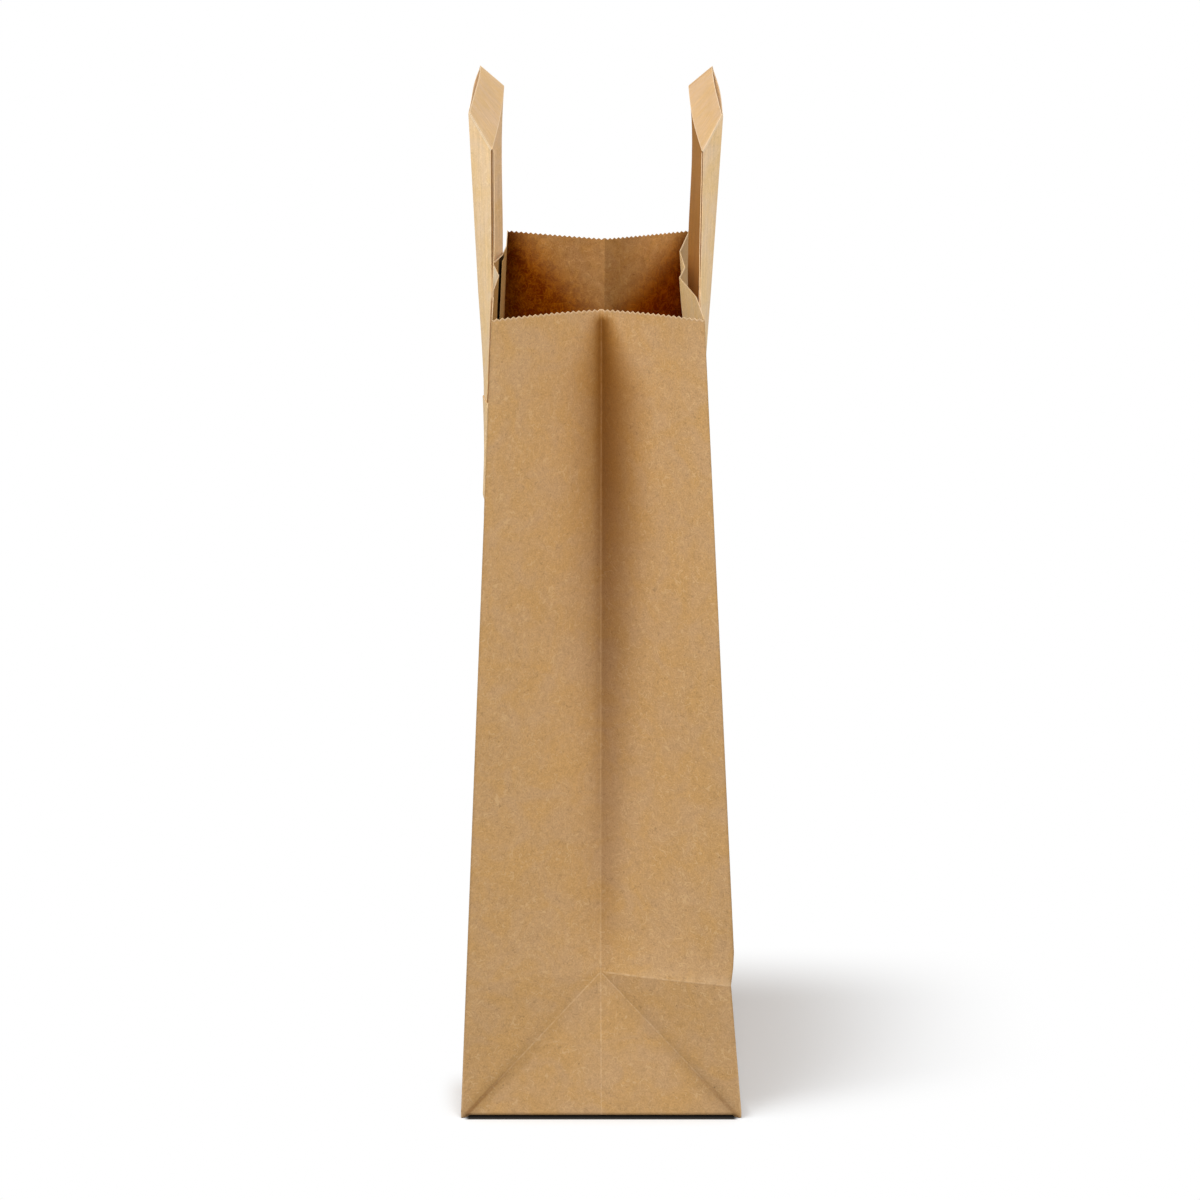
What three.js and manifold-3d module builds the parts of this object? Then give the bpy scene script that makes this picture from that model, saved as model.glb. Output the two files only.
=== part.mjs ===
// A paper carrier bag: a gusseted sack with a block bottom and a pinked rim, two flat strap
// handles on the outside of its wide panels, and the paper patches that hold the strap ends.
// Millimetres, +Z up. The origin is the middle of the base, X runs across the gussets (the bag's
// depth) and Y along the wide panels (the bag's width). Near is -Y, far is +Y, left is -X.
import * as THREE from "three";
import { LoftGeometry } from "three/addons/geometries/LoftGeometry.js";
import { mergeVertices } from "three/addons/utils/BufferGeometryUtils.js";
import Module from "manifold-3d";

// Sack
const BAG_WIDTH = 260;
const BAG_DEPTH = 120;
const BAG_HEIGHT = 345.5;
const RIM_DEPTH = 86.6;
const RIM_SHIFT = -1.3;
const BASE_LIP = 2.6;
const LIP_ROUNDING = 0.5;
const PAPER = 0.3;
const FLOOR_LAYERS = 2;

// Gussets: the tuck of the far one at the rim, how sharply each half turns in, and the dip of the rim
const FAR_RIM_TUCK = 24;
const NEAR_SWEEP = 1.12;
const FAR_SWEEP = 1.2;
const NEAR_RIM_DIP = 2.6;
const FAR_RIM_DIP = 0.4;
const CREASE_HALF_WIDTH = 0.9;
const CORNER_BLUNT = 3;

// Panels: bulge of the left one, and how far out each rim stands at its kinks along Y
const LEFT_BULGE = 1.2;
const LEFT_RIM_BOW = [[-49, 1.5], [-11, 0.4], [25, 4], [52, 0.3], [79, -0.7]];
const RIGHT_RIM_BOW = [[-71, -1.8], [-17, -7.7], [13, -4.7], [62, -5.9]];
const RIM_BOW_DEPTH = 110;

// Crease that flat folding left across the right panel
const CREASE_NOTCH = 1.9;
const CREASE_BAND = 12;

// Lap seam inside the left panel
const SEAM_EDGE = 46;
const SEAM_LAP = 18;
const SEAM_STEP = 0.3;

// Bottom flaps
const FLAP_LAP = 40;
const FLAP_SETBACK = 0.8;

// Pinked rim
const TOOTH_PITCH = 3;
const TOOTH_DEPTH = 1;
const TOOTH_BAND = 6;

// Strap handles
const STRAP_WIDTH = 15;
const STRAP_THICKNESS = 0.9;
const HANDLE_SPAN = 133;
const HANDLE_OFFSET = -4.5;
// Each leg: its stand-off and turn at the rim, its bow outwards above that, then the place of its
// slanting fold out from the rim and above it, and that fold's turn and rise. Turns are in degrees.
const LEFT_NEAR_LEG = { rimOut: 0, rimTurn: 23, bow: 0, foldOut: 1.1, foldUp: 61.8, foldTurn: 39.5, foldRise: 14.6 };
const LEFT_FAR_LEG = { rimOut: 0, rimTurn: 23, bow: 0.9, foldOut: -0.8, foldUp: 75.3, foldTurn: 42.5, foldRise: 10.5 };
const RIGHT_NEAR_LEG = { rimOut: 1.3, rimTurn: 16, bow: 0, foldOut: 0.7, foldUp: 61, foldTurn: 34.5, foldRise: 14.2 };
const RIGHT_FAR_LEG = { rimOut: 3.2, rimTurn: 24, bow: 1.7, foldOut: -2, foldUp: 75.4, foldTurn: 43, foldRise: 10.3 };

// Handle patches
const PATCH_BELOW_RIM = 45;
const PATCH_HEIGHT = 46;
const PATCH_PAST_LEG = 14;
const PATCH_RAMP = 3;
const LEG_END_COVER = 6;

// Air left between neighbouring pieces of paper
const CLEARANCE = 0.3;

// Finishes of the papers
const SACK_KRAFT = { color: 0xc19969, roughness: 0.86 };
const STRAP_KRAFT = { color: 0xdebe96, roughness: 0.82 };
const PATCH_KRAFT = { color: 0xc8a06f, roughness: 0.86 };

// Fineness of the curved surfaces
const HALF_GUSSET_STEPS = 4;
const PANEL_STEPS = 24;
const WALL_STEPS = 4;
const RIM_BOW_STEPS = 8;
const LEG_STEPS = 5;
const RUN_STEPS = 6;
const PATCH_STEPS = 5;

const LEFT = -1;
const RIGHT = 1;
const NEAR = -1;
const FAR = 1;

const wasm = await Module();
wasm.setup();
const { lerp, clamp, degToRad, smoothstep } = THREE.MathUtils;

const halfWidth = BAG_WIDTH / 2;
const halfGusset = BAG_DEPTH / 2;
const taper = (BAG_DEPTH - RIM_DEPTH) / 2 / (BAG_HEIGHT - BASE_LIP);
// The slanting bottom folds run at 45 degrees in the flat sheet, so they meet this high up.
const apexHeight = BASE_LIP + halfGusset / (1 + taper);
const floorUnderside = 2 * PAPER;
const floorTop = floorUnderside + FLOOR_LAYERS * PAPER;
const halfGussetTeeth = Math.round(halfGusset / TOOTH_PITCH);
const panelTeeth = Math.round(BAG_WIDTH / TOOTH_PITCH);

// Evenly spaced numbers from one end to the other, both included
function spaced(start, end, steps) {
  return Array.from({ length: steps + 1 }, (_, i) => lerp(start, end, i / steps));
}

// The same, with some other numbers kept between them
function spacedAround(start, end, steps, kept) {
  const clearOf = (others) => (at) => others.every((other) => Math.abs(at - other) > SEAM_STEP);
  const inside = kept.filter((at) => at > start && at < end).filter(clearOf([start, end]));
  const even = spaced(start, end, steps).slice(1, -1).filter(clearOf(inside));
  return [start, ...even, ...inside, end].sort((a, b) => a - b);
}

// Section of the sack at a height

function creaseNotch(side, height) {
  if (side === LEFT) return 0;
  const below = (height - BASE_LIP) / (apexHeight - BASE_LIP);
  const above = 1 - (height - apexHeight) / CREASE_BAND;
  return CREASE_NOTCH * clamp(Math.min(below, above), 0, 1);
}

function halfDepth(height) {
  return halfGusset - taper * (height - BASE_LIP);
}

function edgeDistance(side, height) {
  return halfDepth(height) - creaseNotch(side, height);
}

function rimKinks(side) {
  return side === LEFT ? LEFT_RIM_BOW : RIGHT_RIM_BOW;
}

// Stand-off of a panel's rim from the straight line between its corners
function rimBow(side, y) {
  const points = [[-halfWidth, 0], ...rimKinks(side), [halfWidth, 0]];
  const next = points.findIndex(([at]) => at >= y);
  if (next < 1) return 0;
  const [[startY, start], [endY, end]] = points.slice(next - 1);
  return lerp(start, end, (y - startY) / (endY - startY));
}

// Distance of a wide panel's outer face from the middle plane
function panelDistance(side, y, height) {
  const across = 1 - (y / halfWidth) ** 2;
  const rise = Math.min(height / BAG_HEIGHT, 1);
  const bulge = side === LEFT ? LEFT_BULGE * across * Math.sin(Math.PI * rise) : 0;
  const nearRim = 1 - smoothstep(BAG_HEIGHT - height, 0, RIM_BOW_DEPTH);
  return edgeDistance(side, height) + bulge + rimBow(side, y) * nearRim;
}

// Share of the way from the bottom edge up to the point where the slanting folds meet
function bottomShare(height) {
  return Math.min((height - BASE_LIP) / (apexHeight - BASE_LIP), 1);
}

// How far a gusset's middle crease lies inside the panel edges
function gussetTuck(end, height) {
  const apexTuck = Math.sqrt(halfGusset ** 2 - halfDepth(apexHeight) ** 2);
  if (height < apexHeight) return apexTuck * bottomShare(height);
  if (end === NEAR) return Math.sqrt(halfGusset ** 2 - halfDepth(height) ** 2);
  return lerp(apexTuck, FAR_RIM_TUCK, (height - apexHeight) / (BAG_HEIGHT - apexHeight));
}

// Distance from the middle of a gusset to its slanting bottom fold, or to its middle crease above that
function foldDistance(height) {
  return lerp(halfGusset - CORNER_BLUNT, CREASE_HALF_WIDTH, bottomShare(height));
}

// Share of the tuck reached at a share of the way from the panel edge to the fold
function tuckShare(end, share, height) {
  const turned = clamp((height - apexHeight) / (BAG_HEIGHT - apexHeight), 0, 1);
  if (end === NEAR) return share ** lerp(1, NEAR_SWEEP, turned);
  return 1 - (1 - share) ** lerp(1, FAR_SWEEP, turned);
}

// Each point of an outline holds its place, how many layers of paper lie there, how many teeth of the
// rim lie between it and the last corner, and how far round the outline it comes, in stretches: two
// for each gusset and one for each panel.
const STRETCHES = 6;
const FOLD_STRETCH = 0.95;

function gussetPoint(end, side, share, height) {
  const x = side * lerp(edgeDistance(side, height), foldDistance(height), share);
  const tuck = gussetTuck(end, height) * tuckShare(end, share, height);
  const rimDip = end === NEAR ? NEAR_RIM_DIP : FAR_RIM_DIP;
  const dip = (rimDip * share ** 2 * (height - BASE_LIP)) / (BAG_HEIGHT - BASE_LIP);
  const fromFirst = side === end ? share * FOLD_STRETCH : 2 - share * FOLD_STRETCH;
  const round = (end === NEAR ? 0 : 3) + fromFirst;
  const y = end * (halfWidth - tuck);
  return { x, y, z: height - dip, layers: 1, teeth: share * halfGussetTeeth, round };
}

function gusset(end, height, steps) {
  const shares = spaced(0, 1, steps);
  const first = shares.map((share) => gussetPoint(end, end, share, height));
  const last = shares.map((share) => gussetPoint(end, -end, share, height)).reverse();
  const fold = first.at(-1);
  return [...first, { ...fold, x: 0, round: Math.ceil(fold.round) }, ...last];
}

function panelPoint(side, y, height) {
  const x = side * panelDistance(side, y, height);
  const inLap = side === LEFT && y >= SEAM_EDGE && y <= SEAM_EDGE + SEAM_LAP;
  const share = 0.5 + (side * y) / BAG_WIDTH;
  const round = (side === RIGHT ? 2 : 5) + share;
  return { x, y, z: height, layers: inLap ? 2 : 1, teeth: share * panelTeeth, round };
}

// A panel bends at the kinks of its rim, and both edges of the lap seam are steps in the left one.
function panel(side, height, steps) {
  const lapEnd = SEAM_EDGE + SEAM_LAP;
  const lap = side === LEFT ? [SEAM_EDGE - SEAM_STEP, SEAM_EDGE, lapEnd, lapEnd + SEAM_STEP] : [];
  const kinks = rimKinks(side).map(([y]) => y);
  const clearOfLap = (y) => lap.every((edge) => Math.abs(y - edge) > SEAM_STEP);
  const kept = [...lap, ...kinks.filter(clearOfLap)];
  const along = spacedAround(-halfWidth, halfWidth, steps, kept).slice(1, -1);
  return along.sort((a, b) => side * (a - b)).map((y) => panelPoint(side, y, height));
}

// Outline of the outer face, anticlockwise from above, starting at the near left corner
function outline(height, halfGussetSteps, panelSteps) {
  return [
    ...gusset(NEAR, height, halfGussetSteps),
    ...panel(RIGHT, height, panelSteps),
    ...gusset(FAR, height, halfGussetSteps),
    ...panel(LEFT, height, panelSteps),
  ];
}

// The rim's outline, with a point at the tip and at the root of every tooth
function pinkedOutline() {
  const points = outline(BAG_HEIGHT, 2 * halfGussetTeeth, 2 * panelTeeth);
  const rootShare = (teeth) => 1 - Math.abs(1 - 2 * (teeth % 1));
  return points.map((point) => ({ ...point, z: point.z - TOOTH_DEPTH * rootShare(point.teeth) }));
}

// An outline moved in by the distance that each point asks for, mitred at the corners
function insideOf(points, distanceAt) {
  const count = points.length;
  const edgeNormal = (a, b) => new THREE.Vector2(a.y - b.y, b.x - a.x).normalize();
  return points.map((point, i) => {
    const before = edgeNormal(points[(i + count - 1) % count], point);
    const after = edgeNormal(point, points[(i + 1) % count]);
    const mitre = before.clone().add(after).normalize();
    const inset = distanceAt(point) / mitre.dot(after);
    return { ...point, x: point.x + mitre.x * inset, y: point.y + mitre.y * inset };
  });
}

// Solids

function toVectors(points) {
  return points.map(({ x, y, z }) => new THREE.Vector3(x, y, z));
}

function closedLoft(sections) {
  return new LoftGeometry(sections, { capStart: true, capEnd: true });
}

function toSolid(geometry) {
  const bare = geometry.index ? geometry.toNonIndexed() : geometry.clone();
  bare.deleteAttribute("normal");
  bare.deleteAttribute("uv");
  const merged = mergeVertices(bare);
  return new wasm.Manifold(
    new wasm.Mesh({
      numProp: 3,
      vertProperties: merged.attributes.position.array,
      triVerts: new Uint32Array(merged.index.array),
    }),
  );
}

function toGeometry(solid) {
  const mesh = solid.getMesh();
  const geometry = new THREE.BufferGeometry();
  geometry.setAttribute("position", new THREE.BufferAttribute(mesh.vertProperties, 3));
  geometry.setIndex(new THREE.BufferAttribute(mesh.triVerts, 1));
  geometry.computeVertexNormals();
  return geometry;
}

// A sheet of even thickness about a grid of points on its middle surface, one section to a row
function sheet(rows, thickness) {
  const normalOf = (i, j) => {
    const a = rows[i][j];
    const along = rows[i + 1][j].clone().sub(a);
    return along.cross(rows[i][j + 1].clone().sub(a)).normalize();
  };
  const offsetAt = (i, j) => {
    const spans = [i - 1, i].filter((k) => k >= 0 && k < rows.length - 1);
    const strips = [j - 1, j].filter((k) => k >= 0 && k < rows[0].length - 1);
    const normals = spans.flatMap((k) => strips.map((m) => normalOf(k, m)));
    const mitre = normals.reduce((sum, n) => sum.add(n), new THREE.Vector3()).normalize();
    const spread = normals.reduce((sum, n) => sum + n.dot(mitre), 0) / normals.length;
    return mitre.multiplyScalar(thickness / 2 / spread);
  };
  const sections = rows.map((row, i) => {
    const front = row.map((point, j) => point.clone().add(offsetAt(i, j)));
    const back = row.map((point, j) => point.clone().sub(offsetAt(i, j)));
    return [...back, ...front.reverse()];
  });
  return closedLoft(sections);
}

// Sack

function wallOutlines() {
  const wall = spaced(apexHeight + CREASE_BAND, BAG_HEIGHT - RIM_BOW_DEPTH, WALL_STEPS);
  const top = spaced(BAG_HEIGHT - RIM_BOW_DEPTH, BAG_HEIGHT - TOOTH_BAND, RIM_BOW_STEPS).slice(1);
  const heights = [BASE_LIP, apexHeight, ...wall, ...top];
  return [...heights.map((height) => outline(height, HALF_GUSSET_STEPS, PANEL_STEPS)), pinkedOutline()];
}

function atHeight(points, z) {
  return points.map((point) => ({ ...point, z }));
}

// Triangles of the band between two outlines, each starting at the given vertex
function band(lower, upper, lowerStart, upperStart) {
  const roundAt = (points, i) => (i < points.length ? points[i].round : STRETCHES + i - points.length);
  const triangles = [];
  let i = 0;
  let j = 0;
  while (i < lower.length || j < upper.length) {
    const a = lowerStart + (i % lower.length);
    const b = upperStart + (j % upper.length);
    if (j === upper.length || (i < lower.length && roundAt(lower, i + 1) <= roundAt(upper, j + 1))) {
      i += 1;
      triangles.push(a, lowerStart + (i % lower.length), b);
    } else {
      j += 1;
      triangles.push(a, upperStart + (j % upper.length), b);
    }
  }
  return triangles;
}

function capTriangles(points, start) {
  const flat = points.map(({ x, y }) => new THREE.Vector2(x, y));
  return THREE.ShapeUtils.triangulateShape(flat, []).flat().map((i) => i + start);
}

// One closed skin: up the outer face from the bottom, over the rim and down the inner face. Both faces
// are split along the same diagonals, so the paper keeps its thickness where it twists.
function sackShell() {
  const outer = wallOutlines();
  const paperAt = (point) => point.layers * PAPER;
  const inner = outer.map((points) => insideOf(points, paperAt));
  const foot = [...gusset(NEAR, BASE_LIP, 1), ...gusset(FAR, BASE_LIP, 1)];
  const bottom = atHeight(insideOf(foot, () => LIP_ROUNDING), floorUnderside);
  const floor = atHeight(insideOf(foot, () => LIP_ROUNDING + PAPER), floorTop);
  const outlines = [bottom, ...outer, ...inner.reverse(), floor];
  const starts = [0];
  outlines.forEach((points, i) => starts.push(starts[i] + points.length));
  const rim = outer.length;
  const bandAfter = (points, i) => {
    if (i <= rim) return band(points, outlines[i + 1], starts[i], starts[i + 1]);
    return band(outlines[i + 1], points, starts[i + 1], starts[i]).reverse();
  };
  const bands = outlines.slice(0, -1).flatMap(bandAfter);
  const under = capTriangles(bottom, 0).reverse();
  const inside = capTriangles(floor, starts.at(-2));
  const geometry = new THREE.BufferGeometry().setFromPoints(outlines.flatMap(toVectors));
  return geometry.setIndex([...bands, ...under, ...inside]);
}

// A bottom flap: a tongue with 45 degree shoulders, folded in from one panel past the middle
function bottomFlap(side, underside) {
  const reach = FLAP_LAP / 2;
  const foldEdge = halfGusset - FLAP_SETBACK;
  const shoulder = halfWidth - 2 * FLAP_SETBACK;
  const tongue = shoulder - foldEdge;
  const shape = new THREE.Shape();
  shape.moveTo(side * foldEdge, -shoulder);
  shape.lineTo(side * foldEdge, shoulder);
  shape.lineTo(0, tongue);
  shape.lineTo(-side * reach, tongue);
  shape.lineTo(-side * reach, -tongue);
  shape.lineTo(0, -tongue);
  const intoFloor = PAPER / 2;
  const geometry = new THREE.ExtrudeGeometry(shape, {
    depth: floorUnderside + intoFloor - underside,
    bevelEnabled: false,
  });
  geometry.translate(0, 0, underside);
  return toSolid(geometry);
}

function bagBody() {
  const folded = toSolid(sackShell()).add(bottomFlap(RIGHT, 0)).add(bottomFlap(LEFT, PAPER));
  return toGeometry(folded);
}

// Handles

const strapSeat = CLEARANCE + STRAP_THICKNESS / 2;
const patchTop = BAG_HEIGHT - PATCH_BELOW_RIM;
const patchLow = patchTop - PATCH_HEIGHT;

// Outer edge of a strap leg, along Y
function legEdge(end) {
  return HANDLE_OFFSET + (end * HANDLE_SPAN) / 2;
}

// Evenly spaced rulings from one to another, without the first
function rulingsTo(first, last, steps) {
  const shares = spaced(0, 1, steps).slice(1);
  return shares.map((share) => first.map((point, i) => point.clone().lerp(last[i], share)));
}

// The strap's rulings along one leg, from its glued end up to its slanting fold: each joins the
// leg's outer edge to its inner edge. The leg lies on the panel, peels off above the patch and
// turns its inner edge outwards on the way up.
function legRulings(side, end, leg) {
  const outerY = legEdge(end);
  const rimTurn = degToRad(leg.rimTurn);
  const foldTurn = degToRad(leg.foldTurn);
  const innerY = (turn) => outerY - end * STRAP_WIDTH * Math.cos(turn);
  const onPanel = (y, height, out) =>
    new THREE.Vector3(side * (panelDistance(side, y, height) + strapSeat + out), y, height);
  const besidePanel = (height) => {
    const peeled = clamp((height - patchTop) / PATCH_BELOW_RIM, 0, 1);
    const out = leg.rimOut * peeled;
    const turn = rimTurn * peeled;
    const outer = onPanel(outerY, height, out);
    const inner = onPanel(innerY(turn), height, out);
    const tilt = side * (outer.x - inner.x) * peeled;
    inner.x += side * Math.max(STRAP_WIDTH * Math.sin(turn) + tilt, 0);
    return [outer, inner];
  };
  const underPatch = spaced(patchLow + LEG_END_COVER, patchTop, LEG_STEPS);
  const overPatch = spaced(patchTop, BAG_HEIGHT, LEG_STEPS).slice(1);
  const glued = [...underPatch, ...overPatch].map(besidePanel);
  const foldOuter = RIM_DEPTH / 2 + leg.foldOut;
  const foldInner = foldOuter + STRAP_WIDTH * Math.sin(foldTurn);
  const foldHeight = BAG_HEIGHT + leg.foldUp;
  const fold = [
    new THREE.Vector3(side * foldOuter, outerY, foldHeight),
    new THREE.Vector3(side * foldInner, innerY(foldTurn), foldHeight + leg.foldRise),
  ];
  // Most of the bow comes two thirds of the way up.
  const bowed = (ruling, i) => {
    const share = (i + 1) / LEG_STEPS;
    const out = leg.bow * 6.75 * share ** 2 * (1 - share);
    return ruling.map((point) => point.clone().setX(point.x + side * out));
  };
  return [...glued, ...rulingsTo(glued.at(-1), fold, LEG_STEPS).map(bowed)];
}

function strap(side, nearLeg, farLeg) {
  const up = legRulings(side, NEAR, nearLeg);
  const [farFold, ...down] = legRulings(side, FAR, farLeg).reverse();
  const run = rulingsTo(up.at(-1), farFold, RUN_STEPS);
  return sheet([...up, ...run, ...down], STRAP_THICKNESS);
}

// A patch lies on the panel and climbs over the strap ends.
function patch(side) {
  const low = CLEARANCE + PAPER / 2;
  const high = low + STRAP_THICKNESS + CLEARANCE;
  const nearLeg = [legEdge(NEAR), legEdge(NEAR) + STRAP_WIDTH];
  const farLeg = [legEdge(FAR) - STRAP_WIDTH, legEdge(FAR)];
  const kinks = rimKinks(side).map(([y]) => y);
  const onPanel = (start, end) => spacedAround(start, end, PATCH_STEPS, kinks).map((y) => [y, low]);
  const onLeg = (leg) => [leg[0] - CLEARANCE, leg[1] + CLEARANCE].map((y) => [y, high]);
  const profile = [
    ...onPanel(nearLeg[0] - PATCH_PAST_LEG, nearLeg[0] - PATCH_RAMP),
    ...onLeg(nearLeg),
    ...onPanel(nearLeg[1] + PATCH_RAMP, farLeg[0] - PATCH_RAMP),
    ...onLeg(farLeg),
    ...onPanel(farLeg[1] + PATCH_RAMP, farLeg[1] + PATCH_PAST_LEG),
  ];
  const heights = spaced(patchLow, patchTop, PATCH_STEPS);
  const rows = profile.map(([y, lift]) =>
    heights.map((z) => new THREE.Vector3(side * (panelDistance(side, y, z) + lift), y, z)),
  );
  return sheet(rows, PAPER);
}

// Scene

// The whole bag leans a little to one side.
const lean = new THREE.Matrix4().makeShear(0, 0, 0, 0, RIM_SHIFT / BAG_HEIGHT, 0);

function piece(name, geometry, finish) {
  const material = new THREE.MeshStandardMaterial({ ...finish, metalness: 0 });
  const mesh = new THREE.Mesh(geometry.applyMatrix4(lean), material);
  mesh.name = name;
  return mesh;
}

const bag = new THREE.Group();
bag.add(piece("bag_body", bagBody(), SACK_KRAFT));
bag.add(piece("left_handle", strap(LEFT, LEFT_NEAR_LEG, LEFT_FAR_LEG), STRAP_KRAFT));
bag.add(piece("right_handle", strap(RIGHT, RIGHT_NEAR_LEG, RIGHT_FAR_LEG), STRAP_KRAFT));
bag.add(piece("left_handle_patch", patch(LEFT), PATCH_KRAFT));
bag.add(piece("right_handle_patch", patch(RIGHT), PATCH_KRAFT));

export default bag;
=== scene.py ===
"""A kraft paper carrier bag, standing open: the sack, its two strap handles and their patches."""

import math

import bpy
import numpy as np
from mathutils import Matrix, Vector


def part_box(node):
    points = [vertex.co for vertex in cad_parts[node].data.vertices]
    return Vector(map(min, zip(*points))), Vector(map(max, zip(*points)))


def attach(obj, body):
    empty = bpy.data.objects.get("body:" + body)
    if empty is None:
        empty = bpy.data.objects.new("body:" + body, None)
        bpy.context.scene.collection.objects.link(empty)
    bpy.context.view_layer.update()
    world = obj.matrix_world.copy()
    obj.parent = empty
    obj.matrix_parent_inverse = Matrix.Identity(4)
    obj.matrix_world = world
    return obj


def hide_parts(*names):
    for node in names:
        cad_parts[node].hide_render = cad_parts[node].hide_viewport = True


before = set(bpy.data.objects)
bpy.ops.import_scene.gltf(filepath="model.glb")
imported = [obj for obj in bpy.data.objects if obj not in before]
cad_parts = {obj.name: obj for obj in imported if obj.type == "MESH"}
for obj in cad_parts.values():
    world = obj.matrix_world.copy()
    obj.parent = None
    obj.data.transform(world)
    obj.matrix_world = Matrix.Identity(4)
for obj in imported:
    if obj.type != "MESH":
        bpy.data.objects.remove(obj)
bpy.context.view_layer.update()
sack_low, sack_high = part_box("bag_body")

# Sizes are in millimetres and become metres when a mesh is made.
MM = 0.001

# Sack
BAG_WIDTH = (sack_high.y - sack_low.y) / MM
BAG_DEPTH = (sack_high.x - sack_low.x) / MM
BAG_HEIGHT = (sack_high.z - sack_low.z) / MM
RIM_DEPTH = 86.6
RIM_SHIFT = -1.3
BASE_LIP = 2.6
PAPER = 0.3
FAR_RIM_TUCK = 24.0
NEAR_SWEEP = 1.12
FAR_SWEEP = 1.2
NEAR_RIM_DIP = 2.6
FAR_RIM_DIP = 0.4
FAR_RIM_LIFT = 1.0
NEAR_CREASE_SHIFT = 1.3
FAR_CREASE_SHIFT = 3.0
CREASE_HALF_WIDTH = 0.4
CORNER_BLUNT = 3.0
LEFT_BULGE = 1.2
LEFT_RIM_BOW = ((-49, 1.5), (-11, 0.4), (25, 4.0), (52, 0.3), (79, -0.7))
RIGHT_RIM_BOW = ((-71, -1.8), (-17, -7.7), (13, -4.7), (62, -5.9))
RIM_BOW_DEPTH = 110.0
CREASE_NOTCH = 1.9
CREASE_BAND = 12.0
FOLDING_RIDGE = 0.9
RIDGE_ABOVE = 7.0
RIDGE_BELOW = 16.0
TOOTH_PITCH = 3.0
TOOTH_DEPTH = 0.8
TOOTH_BAND = 6.0
END_LIP_RISE = 1.1
END_LIP_DEPTH = 1.4
SIDE_LIP_DEPTH = 0.6
LIP_LOWEST = 0.05
LIP_TURNS = (90, 68, 46, 24)
LIP_TUCK = 2.0
LIP_TUCK_RISE = 0.62
CORNER_TIP = 4.0
UNDERSIDE_SHRINK = (0.9, 0.955)
UNDERSIDE_RISE = 0.75
FLOOR_INSET = 1.1
FLOOR_RISE = 1.45

# Slow waves of the handled paper
WAVES = 4
LONGEST_WAVE = 170.0
FULL_TURN = 6.283
GUSSET_WAVE = 0.22
PANEL_WAVE = 0.35
WAVE_FADE = 40.0
PANEL_FOOT_FADE = 50.0

# Lap seam inside the left panel
SEAM_EDGE = 43.0
SEAM_FLAP = 25.0
SEAM_PAPER = 0.25
SEAM_FOOT = 14.0
SEAM_BELOW_RIM = 1.2
SEAM_GLUE = 0.08
SEAM_GAPE = 0.7
SEAM_GAPE_FROM = 200.0
SEAM_GAPE_RISE = 140.0
SEAM_FREE = 0.75
SEAM_FOLLOWS_PANEL = 0.6

# Tongues folded in under the bottom
FLAP_LAP = 40.0
FLAP_SETBACK = 0.8
FLAP_PAPER = 0.27
FLAP_SPACING = 0.3

# Straps
STRAP_WIDTH = 15.0
HANDLE_SPAN = 133.0
HANDLE_OFFSET = -4.5
STRAP_SEAT = 0.75
PLY = 0.22
PLY_SPACING = 0.3
LEG_END_COVER = 6.0
LEG_PRESS_FROM = 4.0
LEG_PRESS_RISE = 12.0
LEG_PEEL_EASE = 0.75
LEG_GAPE_FROM = 0.44
LEG_GAPE_RISE = 0.16
LEG_GAPE_WIDTH = 0.5
RUN_GAPE_END = 0.94
RUN_SHUT_WIDTH = 0.3
INNER_PLY_HEM = 0.03
INNER_PLY_WIDTH = 0.9
SLIT_SHADE_RISE = 0.1
LEAST_MITRE = 0.45
LIT_LEG_TONE = 0.9

# Patches
PATCH_BELOW_RIM = 45.0
PATCH_HEIGHT = 46.0
PATCH_PAST_LEG = 14.0
PATCH_RAMP = 3.0
PATCH_LIFT = 0.4
PATCH_OVER_LEG = 1.32
PATCH_PAPER = 0.26

LEFT, RIGHT = -1, 1
NEAR, FAR = -1, 1
OUTSIDE, INSIDE, CUT_EDGE = 0, 1, 2
HALF_WIDTH = BAG_WIDTH / 2
HALF_GUSSET = BAG_DEPTH / 2
TAPER = (BAG_DEPTH - RIM_DEPTH) / 2 / (BAG_HEIGHT - BASE_LIP)
APEX = BASE_LIP + HALF_GUSSET / (1 + TAPER)
HALF_GUSSET_TEETH = round(HALF_GUSSET / TOOTH_PITCH)
PANEL_TEETH = round(BAG_WIDTH / TOOTH_PITCH)
PATCH_TOP = BAG_HEIGHT - PATCH_BELOW_RIM
PATCH_LOW = PATCH_TOP - PATCH_HEIGHT


class Leg:
    """How one leg of a strap peels off the panel, bows out and where its slanting fold lies."""

    def __init__(
        self, rim_out, rim_turn, bow, fold_out, fold_up, fold_turn, fold_rise,
        peel=PATCH_BELOW_RIM, peel_ease=LEG_PEEL_EASE, press=0.0,
    ):
        self.rim_out = rim_out
        self.rim_turn = math.radians(rim_turn)
        self.bow = bow
        self.fold_out = fold_out
        self.fold_up = fold_up
        self.fold_turn = math.radians(fold_turn)
        self.fold_rise = fold_rise
        self.peel = peel
        self.peel_ease = peel_ease
        self.press = press

    def peeled(self, height):
        """0 where the leg lies flat on the panel, 1 at the rim."""
        return clamp(1 - (BAG_HEIGHT - height) / self.peel)

    def turn(self, height):
        return self.rim_turn * self.peeled(height) ** self.peel_ease


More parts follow.
